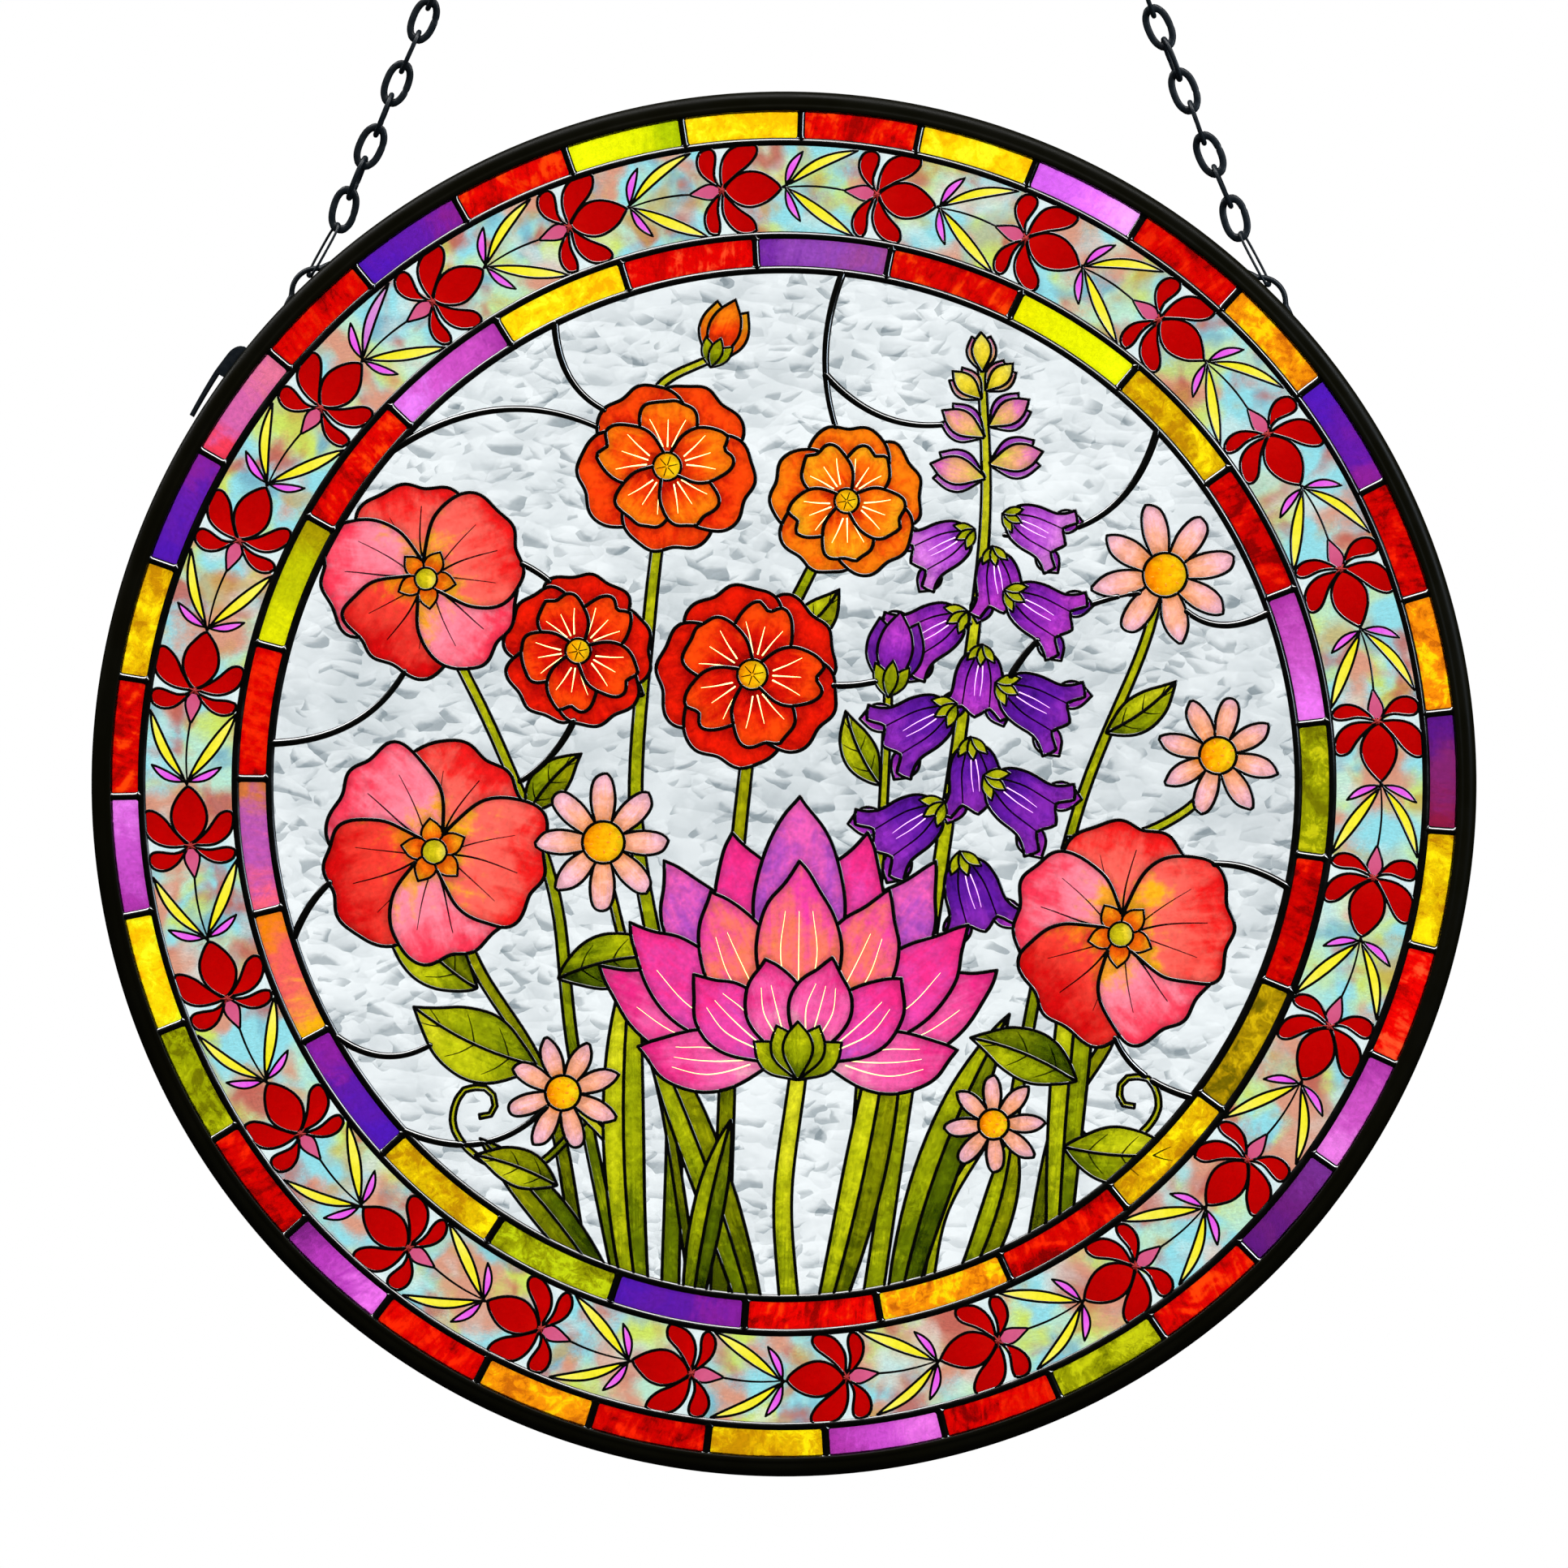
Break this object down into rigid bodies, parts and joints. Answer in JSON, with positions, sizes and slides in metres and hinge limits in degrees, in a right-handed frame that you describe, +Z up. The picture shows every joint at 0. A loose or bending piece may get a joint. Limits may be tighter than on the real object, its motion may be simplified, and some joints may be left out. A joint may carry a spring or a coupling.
{
  "type": "glass suncatcher",
  "caption": "Round clear glass panel with a raised-line flower picture and coloured borders in a slim black metal rim, hung by a fine black chain from a ring.",
  "frame": {"origin": "inner top of the hanging ring, where the hook that holds the part bears", "axes": "+Z up; -Y is the picture side and +Y the back; +X is to the right of someone looking at the picture"},
  "size_m": [0.254, 0.0062, 0.4394],
  "materials": {
    "rim": "satin black paint",
    "glass": "clear rippled glass with transparent colours and raised black lines",
    "chain": "blackened steel, slight sheen"
  },
  "bodies": {
    "root": {"rim": "rim", "glass_panel": "glass", "rim_loop_left": "rim", "rim_loop_right": "rim", "rim_clip": "rim", "chain_left": "chain", "chain_right": "chain", "hanging_ring": "chain"}
  },
  "joints": []
}
